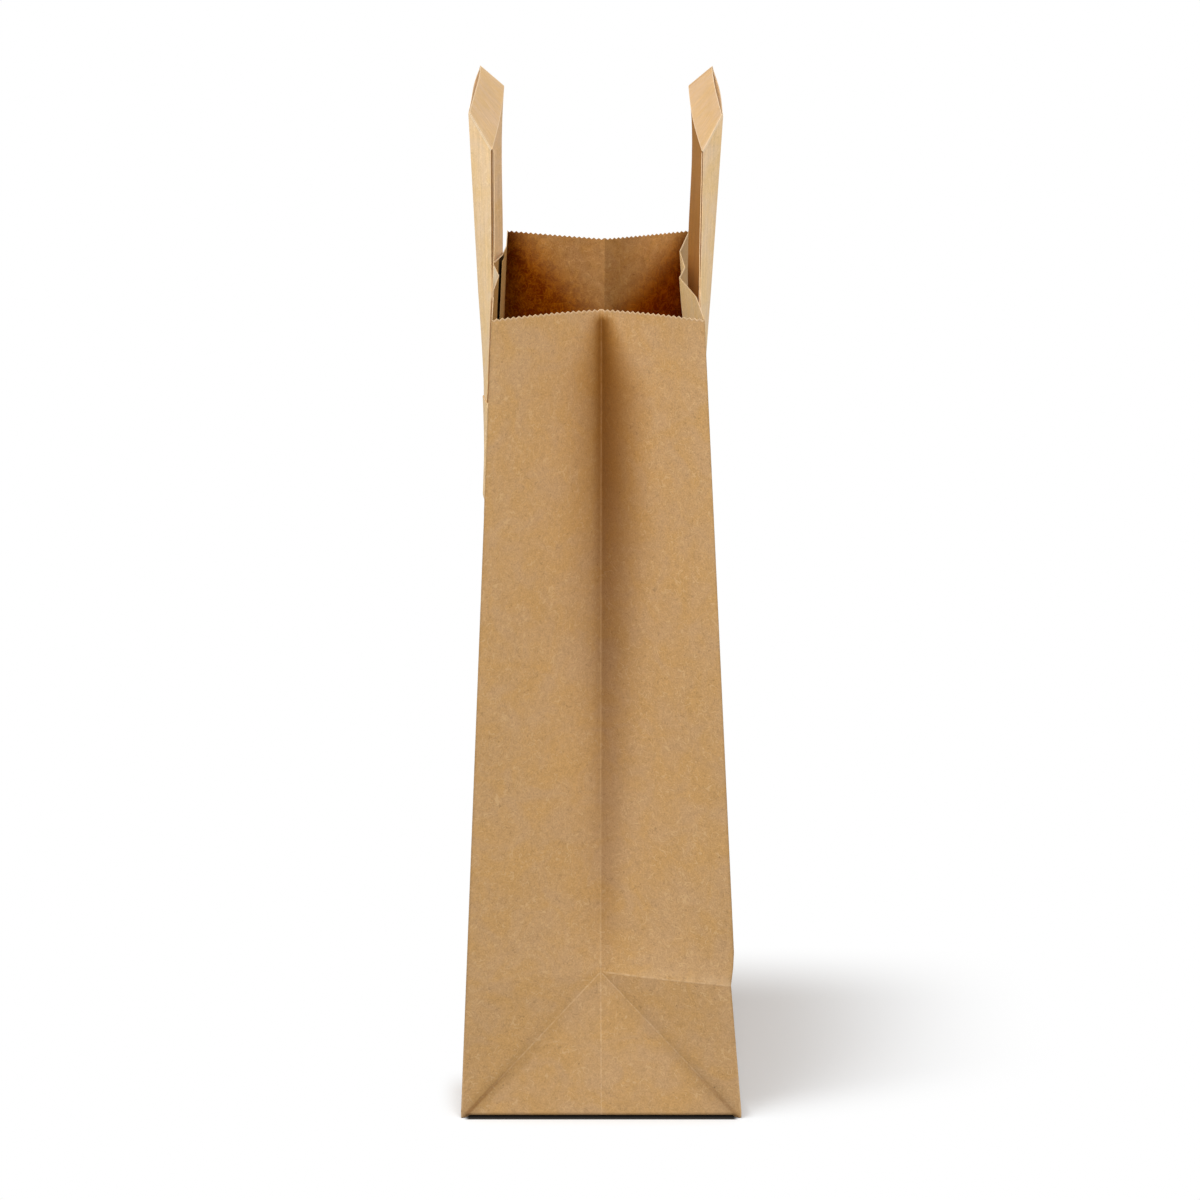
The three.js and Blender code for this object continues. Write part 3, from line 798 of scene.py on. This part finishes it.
class Ink:
    """One socket of a paper's shader; sums and products of it add Math nodes."""

    def __init__(self, tree, socket=None):
        self.tree = tree
        self.socket = socket

    def node(self, kind, settings=None, sockets=None, output=0):
        made = self.tree.nodes.new(kind)
        for name, value in (settings or {}).items():
            setattr(made, name, value)
        for name, value in (sockets or {}).items():
            if isinstance(value, Ink):
                self.tree.links.new(value.socket, made.inputs[name])
            else:
                made.inputs[name].default_value = value
        return Ink(self.tree, made.outputs[output])

    def maths(self, operation, *values):
        return self.node("ShaderNodeMath", {"operation": operation}, dict(enumerate(values)))

    def __add__(self, other):
        return self.maths("ADD", self, other)

    def __radd__(self, other):
        return self.maths("ADD", other, self)

    def __sub__(self, other):
        return self.maths("SUBTRACT", self, other)

    def __rsub__(self, other):
        return self.maths("SUBTRACT", other, self)

    def __mul__(self, other):
        return self.maths("MULTIPLY", self, other)

    def __rmul__(self, other):
        return self.maths("MULTIPLY", other, self)

    def __abs__(self):
        return self.maths("ABSOLUTE", self)

    def rise(self, low, high):
        """0 below low, 1 above high and smooth between."""
        sockets = {"Value": self, "From Min": low, "From Max": high}
        return self.node("ShaderNodeMapRange", {"interpolation_type": "SMOOTHSTEP"}, sockets)

    def fall(self, low, high):
        return 1 - self.rise(low, high)

    def ramp(self, low, high):
        """0 below low, 1 above high and straight between."""
        return self.node("ShaderNodeMapRange", {}, {"Value": self, "From Min": low, "From Max": high})

    def stronger(self, other):
        return self.maths("MAXIMUM", self, other)

    def scaled(self, factor):
        """A colour or vector times a number."""
        sockets = {0: self, "Scale": factor}
        return self.node("ShaderNodeVectorMath", {"operation": "SCALE"}, sockets)

    def blend(self, other, share):
        """This colour with a share of another one."""
        return self.node("ShaderNodeMix", {"data_type": "RGBA"}, {0: share, 6: self, 7: other}, 2)

    def noise(self, place, scale, detail=2.0, distortion=0.0, roughness=0.5):
        sockets = {"Vector": place, "Scale": scale, "Detail": detail}
        sockets |= {"Roughness": roughness, "Distortion": distortion}
        return self.node("ShaderNodeTexNoise", {}, sockets)

    def place(self):
        """Where a point of the paper lies, in metres."""
        return self.node("ShaderNodeTexCoord", {}, {}, "Object")

    def part(self, axis):
        return self.node("ShaderNodeSeparateXYZ", {}, {0: self}, axis)

    def shifted(self, distance):
        sockets = {0: self, 1: (distance, distance, distance)}
        return self.node("ShaderNodeVectorMath", {"operation": "ADD"}, sockets)

    def stretched(self, factors):
        return self.node("ShaderNodeVectorMath", {"operation": "MULTIPLY"}, {0: self, 1: factors})

    def tinted(self, red, green, blue):
        """A colour with each of its parts times a number of its own."""
        return self.stretched(self.node("ShaderNodeCombineXYZ", {}, {0: red, 1: green, 2: blue}))

    def gap(self, name):
        """A value that the mesh carries: a distance in millimetres, or a share."""
        return self.node("ShaderNodeAttribute", {"attribute_name": name}, {}, 2)


def new_paper(name):
    material = bpy.data.materials.new(name)
    material.use_nodes = True
    material.node_tree.nodes.clear()
    return material, Ink(material.node_tree)


def show(material, shader):
    output = material.node_tree.nodes.new("ShaderNodeOutputMaterial")
    material.node_tree.links.new(shader.socket, output.inputs["Surface"])
    return material


# Clouds, fibres and specks of kraft, as noise scales per metre
CLOUDS = 26
HUES = 70
MOTTLE = 430
GRAIN = 1400
LIGHT_FIBRES = 210
DARK_FIBRES = 280
FIBRE_BREAKS = 330
SPECKS = 120.0
GRAIN_HEIGHT = 0.0002

# Tones of the papers
SACK_TONE = (0.53, 0.319, 0.141)
INSIDE_TONE = (0.45, 0.235, 0.08)
INSIDE_LEFT_TONE = (0.5, 0.29, 0.11)
# The right panel's inside is painted lit
INSIDE_RIGHT_LIT_TONE = (0.95, 0.68, 0.35)
CUT_EDGE_TONE = (0.66, 0.46, 0.27)
STRAP_TONE = (0.88, 0.635, 0.37)
PATCH_TONE = (0.84, 0.6, 0.345)

# Colours blended over them: wear, painted shade and a painted highlight
WORN_KRAFT = (0.66, 0.46, 0.27, 1.0)
RIM_HIGHLIGHT_KRAFT = (0.95, 0.78, 0.54, 1.0)
CREASE_SHADE = (0.13, 0.038, 0.001, 1.0)
INSIDE_GOLD = (0.45, 0.155, 0.002, 1.0)
INSIDE_SHADE_BROWN = (0.15, 0.024, 0.0002, 1.0)
SEAM_SHADE = (0.02, 0.008, 0.002, 1.0)
STRAP_SHADE = (0.33, 0.125, 0.012, 1.0)
STRAP_HEM = (0.92, 0.74, 0.52, 1.0)


def paper_finish(material, ink, colour, roughness, height, bump, gloss=0.12):
    relief = {"Strength": bump, "Distance": GRAIN_HEIGHT, "Height": height}
    normal = ink.node("ShaderNodeBump", {}, relief)
    sockets = {"Base Color": colour, "Roughness": roughness, "Normal": normal}
    sockets["Specular IOR Level"] = gloss
    return show(material, ink.node("ShaderNodeBsdfPrincipled", {}, sockets))


def kraft(ink, place, tone, clouding, fibre, grit=1.0):
    """Colour and surface height of kraft: golden and greyer clouds, grain, curled fibres, specks."""
    cloud = ink.noise(place, CLOUDS, 3) - 0.5
    hue = ink.noise(place.shifted(1.3), HUES, 4, 0.8).rise(0.3, 0.7)
    mottle = ink.noise(place, MOTTLE, 3, 0.6) - 0.5
    grain = ink.noise(place, GRAIN, 2) - 0.5
    light_path = abs(ink.noise(place, LIGHT_FIBRES, 1.5, 1.2) - 0.5)
    dark_path = abs(ink.noise(place.shifted(3.1), DARK_FIBRES, 1.5, 1.4) - 0.5)
    broken = ink.noise(place.shifted(7.7), FIBRE_BREAKS, 1)
    light_fibre = light_path.fall(0.005, 0.026) * broken.rise(0.42, 0.58)
    dark_fibre = dark_path.fall(0.004, 0.022) * broken.fall(0.38, 0.5)
    cells = {"Vector": place, "Scale": SPECKS}
    spot = ink.node("ShaderNodeTexVoronoi", {}, cells)
    chance = ink.node("ShaderNodeTexVoronoi", {}, cells, 1).part(0)
    dark_speck = spot.fall(0.035, 0.06) * chance.rise(0.8, 0.82)
    light_speck = spot.fall(0.03, 0.05) * chance.fall(0.08, 0.1)
    red, green, blue = tone
    golden = (red * 1.01, green * 0.98, blue * 0.86, 1.0)
    greyer = (red * 0.99, green * 1.01, blue * 1.1, 1.0)
    colour = ink.node("ShaderNodeMix", {"data_type": "RGBA"}, {0: hue, 6: golden, 7: greyer}, 2)
    shade = 1 + clouding * cloud + 0.25 * grit * mottle + 0.52 * grit * grain
    shade = shade - 0.19 * fibre * dark_fibre + 0.1 * light_speck - 0.34 * dark_speck
    colour = colour.scaled(shade)
    fibre_tone = (red * 1.18, green * 1.26, blue * 1.38, 1.0)
    colour = colour.blend(fibre_tone, 0.78 * fibre * light_fibre)
    height = grain + 0.7 * mottle + 0.6 * light_fibre - 0.4 * dark_fibre
    return colour, height


def make_sack_kraft():
    """Outside of the sack, with its folds worn lighter, painted shade beside them and by the middle
    crease, and a painted highlight on the left rim.
    """
    material, ink = new_paper("sack_kraft")
    place = ink.place()
    colour, height = kraft(ink, place, SACK_TONE, 0.1, 1.0)
    across = place.part(0)
    up = place.part(2)
    slant = ink.gap("slant_gap")
    crease = ink.gap("crease_gap")
    edge = ink.gap("edge_gap")
    rim = ink.gap("rim_gap")
    chafe = ink.noise(place, 420, 2).rise(0.35, 0.6)

    # Painted shade beside the tucked crease, further to its right than to its left, and less towards the
    # foot.
    right = crease.rise(-0.05, 0.05)
    aside = abs(crease)
    right_reach = (7 + 25 * rim.ramp(0, 32)) * (0.4 + 0.6 * up.ramp(0.08, 0.25))
    left_reach = (8 + 18 * rim.ramp(0, 28)) * (0.65 + 0.35 * up.ramp(0.15, 0.23))
    right_shade = aside.fall(0, right_reach) * (0.2 + 0.57 * up.ramp(0.065, 0.27))
    near_left = 1 - aside.ramp(0, left_reach)
    left_shade = near_left * near_left * (0.09 + 0.53 * up.ramp(0.07, 0.3))
    left_shade = left_shade + 0.17 * aside.fall(0, 6) * up.ramp(0.07, 0.28)
    crease_shade = left_shade + right * (right_shade - left_shade)
    crease_shade = crease_shade * up.rise(0.05, 0.09) * rim.rise(0.2, 5)
    # Painted shade darkens the paper towards the foot, on the bottom triangle, beside the slanting folds
    # and in them near the corners. The paper is also darker along the corner folds above the foot.
    low = up.fall(0.01, APEX * MM)
    slant_shade = slant.fall(0.4, 6.0) * (0.03 + 0.14 * low)
    bottom_triangle = (APEX * MM - up - abs(across)).rise(-0.0003, 0.0008)
    level = (0.9 + 0.1 * up.ramp(0, 0.3)) * (1 - 0.1 * bottom_triangle)
    by_corner = up.fall(0.004, 0.03)
    level = level * (1 - slant_shade) * (1 - 0.16 * edge.fall(0.2, 1.4) * up.rise(0.02, 0.06))
    corner_fold_shade = slant.fall(0.2, 1.4) * by_corner * (0.5 - 0.2 * across.rise(-0.01, 0.01))
    colour = colour.scaled(level).blend(CREASE_SHADE, crease_shade.stronger(corner_fold_shade))
    # The painted crease shade turns browner towards the rim.
    shade_warmth = crease_shade * up.ramp(0.2, 0.33)
    colour = colour.tinted(1.0, 1 - 0.22 * shade_warmth, 1 - 0.8 * shade_warmth)

    # Worn lines on the folds and the cut edge, and a worn band above the folding crease
    folding_line = abs(up - APEX * MM).fall(0.0002, 0.0006) * across.rise(0.0, 0.004)
    above_line = (up - APEX * MM).rise(0.0, 0.0008) * up.fall(APEX * MM, APEX * MM + 0.007)
    right_half = across.rise(0.0, 0.006) + 0.6 * across.rise(0.025, 0.05)
    worn_band = above_line * right_half * ink.noise(place, 120, 3).rise(0.35, 0.6)
    crease_line = aside.fall(0.1, 0.4) * (0.15 + 0.5 * up.fall(0.04, 0.12))
    foot_edge = edge.fall(0.2, 1.0) * up.fall(0.01, 0.05)
    slant_line = slant.fall(0.1, 0.5) * (0.55 - 0.5 * by_corner)
    folds = slant_line.stronger(crease_line).stronger(0.8 * folding_line).stronger(foot_edge)
    lines = (folds * (0.35 + 0.65 * chafe)).stronger(1.6 * rim.fall(0.3, 0.9))
    colour = colour.blend(WORN_KRAFT, 0.5 * lines).blend(WORN_KRAFT, 0.22 * worn_band)

    # A painted highlight on the left panel's rim, where it bows out
    along = place.part(1)
    rim_highlight = across.fall(-0.04, -0.035) * along.rise(-0.018, 0.006)
    rim_highlight = rim_highlight * along.fall(0.014, 0.03) * rim.fall(0.5, 13)
    colour = colour.blend(RIM_HIGHLIGHT_KRAFT, 0.8 * rim_highlight)
    roughness = 0.86 + 0.06 * (ink.noise(place, 300, 2) - 0.5)
    return paper_finish(material, ink, colour, roughness, height + 0.8 * lines, 0.35)


def make_inside_kraft():
    """Inside of the sack: golden curls under a painted brown shade that deepens away from the mouth and
    the far crease; paler panels, the right one painted lit.
    """
    material, ink = new_paper("inside_kraft")
    place = ink.place()
    pale, height = kraft(ink, place, INSIDE_TONE, 0.25, 1.4)
    crease = ink.gap("crease_gap")
    edge = ink.gap("edge_gap")
    rim = ink.gap("rim_gap")
    # Painted shade: the paper turns darker, browner and more saturated away from the mouth and the far
    # crease, and darker by the side edges and right of the far crease. Painted light lifts the right half
    # away from the crease near the mouth.
    right = crease.rise(-0.1, 0.1)
    deep = (abs(crease) + rim * (1 + 0.35 * right) - 14 * right).rise(24, 60)
    blotch = ink.noise(place, 170, 5, 1.2, 0.62).rise(0.4, 0.6)
    curl = abs(ink.noise(place.shifted(2.2), 240, 2, 1.6) - 0.5).fall(0.01, 0.06)
    gold = pale.blend(INSIDE_GOLD, 0.95 * deep)
    dark = pale.blend(INSIDE_SHADE_BROWN, 0.22 + 0.78 * deep)
    colour = dark.blend(gold, (0.7 - 0.45 * deep) * blotch + 0.3 * curl)
    shade = 0.45 * edge.fall(0.5, 14) + 0.2 * right * abs(crease).fall(3, 26)
    painted_light = 0.14 * right * crease.rise(15, 30) * (1 - deep)
    colour = colour.scaled(1 - shade + painted_light)
    green = 1 - (0.2 + 0.14 * right) * deep
    blue = 1 - (0.55 + 0.35 * right) * deep
    colour = colour.tinted(1 - 0.07 * deep, green, blue)

    # The panels are paler, the right one painted lit; the gap behind the seam's flap is painted dark with
    # shade.
    on_panel = crease.rise(80, 90)
    from_left = place.part(0).rise(-0.02, 0.02) * place.part(2).rise(0.002, 0.006)
    lit_right_kraft, _ = kraft(ink, place, INSIDE_RIGHT_LIT_TONE, 0.2, 1.0)
    left_kraft, _ = kraft(ink, place, INSIDE_LEFT_TONE, 0.2, 1.0)
    colour = colour.blend(left_kraft.blend(lit_right_kraft, from_left), on_panel)
    along = place.part(1)
    # Painted shadow in the narrow gap behind the seam's flap
    behind_flap = on_panel * (1 - from_left) * rim.fall(90, 95)
    behind_flap = behind_flap * along.rise(0.039, 0.0425) * along.fall(0.055, 0.065)
    colour = colour.blend(SEAM_SHADE, 0.95 * behind_flap)
    return paper_finish(material, ink, colour, 0.92, height, 0.4, 0.0)


def make_cut_edge():
    material, ink = new_paper("cut_paper_edge")
    colour, height = kraft(ink, ink.place(), CUT_EDGE_TONE, 0.1, 0.6)
    return paper_finish(material, ink, colour, 0.9, height, 0.2)


def make_strap_kraft():
    """Lighter kraft of the straps: streaked along the legs, hatched across the run, pale at its hems,
    darkened part by part with painted shade.
    """
    material, ink = new_paper("strap_kraft")
    place = ink.place()
    colour, height = kraft(ink, place, STRAP_TONE, 0.1, 0.6, 0.5)
    on_strap = ink.node("ShaderNodeCombineXYZ", {}, {0: ink.gap("across"), 1: ink.gap("along")})
    run = ink.gap("run")
    streak = ink.noise(on_strap.stretched((2.0, 0.05, 1.0)), 1.0, 2) - 0.5
    hatch = ink.noise(on_strap.stretched((0.09, 1.1, 1.0)), 1.0, 2) - 0.5
    rib = streak + run * (hatch - streak)
    pale_hem = ink.gap("hem").fall(0.1, 0.45) * (0.15 + 0.85 * run)
    pale = pale_hem.stronger(ink.gap("bend").fall(0.2, 0.8))
    broad = ink.noise(on_strap.stretched((0.5, 0.015, 1.0)), 1.0, 2) - 0.5
    # Painted shade, darker part by part as the tone attribute sets
    colour = colour.blend(STRAP_SHADE, 1 - ink.gap("tone"))
    colour = colour.scaled(1 + (0.3 + 0.24 * run) * rib + 0.3 * (1 - run) * broad)
    colour = colour.blend(STRAP_HEM, 0.5 * pale)
    return paper_finish(material, ink, colour, 0.82 + 0.06 * rib, height + 0.8 * rib, 0.3)


def make_patch_kraft():
    material, ink = new_paper("patch_kraft")
    colour, height = kraft(ink, ink.place(), PATCH_TONE, 0.1, 1.0)
    return paper_finish(material, ink, colour, 0.86, height, 0.35)


# Floor, light and camera, in metres
FLOOR_REACH = 14.0
FLOOR_BOUNCE = (0.37, 0.375, 0.38, 1.0)
FLOOR_SHADOW = (0.85, 0.87, 0.89, 1.0)
FLOOR_LIP_SHADOW = (0.05, 0.045, 0.04, 1.0)
WORLD_FILL = 0.63
WHITE_LIGHT = (1.0, 1.0, 1.0)
SENSOR_WIDTH = 36.0
LENS = 110.73
CAMERA_PLACE = (-0.00053, -1.615, 0.5836)
CAMERA_PITCH = 13.46


def seen_directly(ink):
    """1 for rays from the camera, and for what shows in a gloss or through glass."""
    rays = ("Is Camera Ray", "Is Glossy Ray", "Is Transmission Ray")
    camera, gloss, glass = [ink.node("ShaderNodeLightPath", {}, {}, ray) for ray in rays]
    return camera.stronger(gloss).stronger(glass)


def make_floor():
    """Pale floor that keeps the bag's shadow on its right and by its edges, has a painted dark shadow
    under the bag's lip, and is white elsewhere.
    """
    material, ink = new_paper("pale_floor")
    seen = seen_directly(ink)
    across = ink.place().part(0)
    along = ink.place().part(1)
    outside = (abs(across) - BAG_DEPTH / 2 * MM).stronger(abs(along) - HALF_WIDTH * MM)
    right_of_bag = across.rise(0.04, 0.06) * across.fall(0.07, 0.21)
    beside = right_of_bag * along.fall(0.015, 0.1) * (along - 0.45 * across).rise(-0.185, -0.13)
    shaded = beside.stronger(outside.fall(0.0005, 0.012) * along.fall(-0.1, -0.07))
    # A painted dark shadow on the floor just under the bag's end lips
    painted_lip_shadow = (abs(along) - HALF_WIDTH * MM).fall(0.0008, 0.0018) * abs(across).fall(0.0565, 0.059)
    soft = ink.node("ShaderNodeBsdfDiffuse", {}, {"Color": FLOOR_BOUNCE})
    bright = ink.node("ShaderNodeBsdfDiffuse", {}, {"Color": FLOOR_SHADOW})
    under = ink.node("ShaderNodeBsdfDiffuse", {}, {"Color": FLOOR_LIP_SHADOW})
    lit = ink.node("ShaderNodeMixShader", {}, {0: seen, 1: soft, 2: bright})
    lit = ink.node("ShaderNodeMixShader", {}, {0: painted_lip_shadow, 1: lit, 2: under})
    white = ink.node("ShaderNodeEmission", {}, {"Strength": 1.0})
    show(material, ink.node("ShaderNodeMixShader", {}, {0: seen * (1 - shaded), 1: lit, 2: white}))
    mesh = bpy.data.meshes.new("studio_floor")
    reach = FLOOR_REACH
    corners = [(-reach, -reach, 0), (reach, -reach, 0), (reach, reach, 0), (-reach, reach, 0)]
    mesh.from_pydata(corners, [], [(0, 1, 2, 3)])
    mesh.materials.append(material)
    floor = bpy.data.objects.new("studio_floor", mesh)
    bpy.context.scene.collection.objects.link(floor)


def make_world():
    world = bpy.data.worlds.new("studio")
    world.use_nodes = True
    world.node_tree.nodes.clear()
    ink = Ink(world.node_tree)
    fill = ink.node("ShaderNodeBackground", {}, {"Color": (*WHITE_LIGHT, 1.0), "Strength": WORLD_FILL})
    white = ink.node("ShaderNodeBackground", {}, {"Strength": 1.0})
    shown = ink.node("ShaderNodeMixShader", {}, {0: seen_directly(ink), 1: fill, 2: white})
    output = world.node_tree.nodes.new("ShaderNodeOutputWorld")
    world.node_tree.links.new(shown.socket, output.inputs["Surface"])
    bpy.context.scene.world = world


def make_soft_light(name, place, aim, size, power):
    lamp = bpy.data.lights.new(name, "AREA")
    lamp.size = size
    lamp.energy = power
    lamp.color = WHITE_LIGHT
    light = bpy.data.objects.new(name, lamp)
    light.location = place
    light.rotation_euler = (Vector(aim) - Vector(place)).to_track_quat("-Z", "Y").to_euler()
    bpy.context.scene.collection.objects.link(light)


def make_camera():
    lens = bpy.data.cameras.new("photo_view")
    lens.sensor_width = SENSOR_WIDTH
    lens.lens = LENS
    lens.clip_end = 100.0
    camera = bpy.data.objects.new("photo_view", lens)
    camera.location = CAMERA_PLACE
    camera.rotation_euler = (math.radians(90 - CAMERA_PITCH), 0.0, 0.0)
    bpy.context.scene.collection.objects.link(camera)
    bpy.context.scene.camera = camera


make_camera()
make_world()
make_floor()
make_soft_light("key", place=(-0.85, -0.6, 2.2), aim=(0, 0, 0.2), size=1.3, power=28.0)
make_soft_light("front", place=(0.6, -2.3, 1.4), aim=(0, 0, 0.25), size=1.6, power=35.0)
bpy.context.scene.view_settings.view_transform = "Standard"

strap_kraft = make_strap_kraft()
patch_kraft = make_patch_kraft()
make_sack([make_sack_kraft(), make_inside_kraft(), make_cut_edge()])
# Each strap's shade tones paint its shade by part; the right strap's far leg is painted dark.
make_strap(
    "left_handle", LEFT, LEFT_NEAR_LEG, LEFT_FAR_LEG, strap_kraft,
    run_bow=0.8, run_gape=1.8, gape_lean=2.0, leg_gape=1.1, shade_tones=(1.0, 0.93, 0.68, 0.775, 0.73),
)
make_strap(
    "right_handle", RIGHT, RIGHT_NEAR_LEG, RIGHT_FAR_LEG, strap_kraft,
    run_bow=1.1, run_gape=2.3, gape_lean=1.35, leg_gape=0.25, shade_tones=(1.0, 0.92, 0.605, 0.2, 0.07),
)
make_patch("left_handle_patch", LEFT, (LEFT_NEAR_LEG, LEFT_FAR_LEG), patch_kraft)
make_patch("right_handle_patch", RIGHT, (RIGHT_NEAR_LEG, RIGHT_FAR_LEG), patch_kraft)
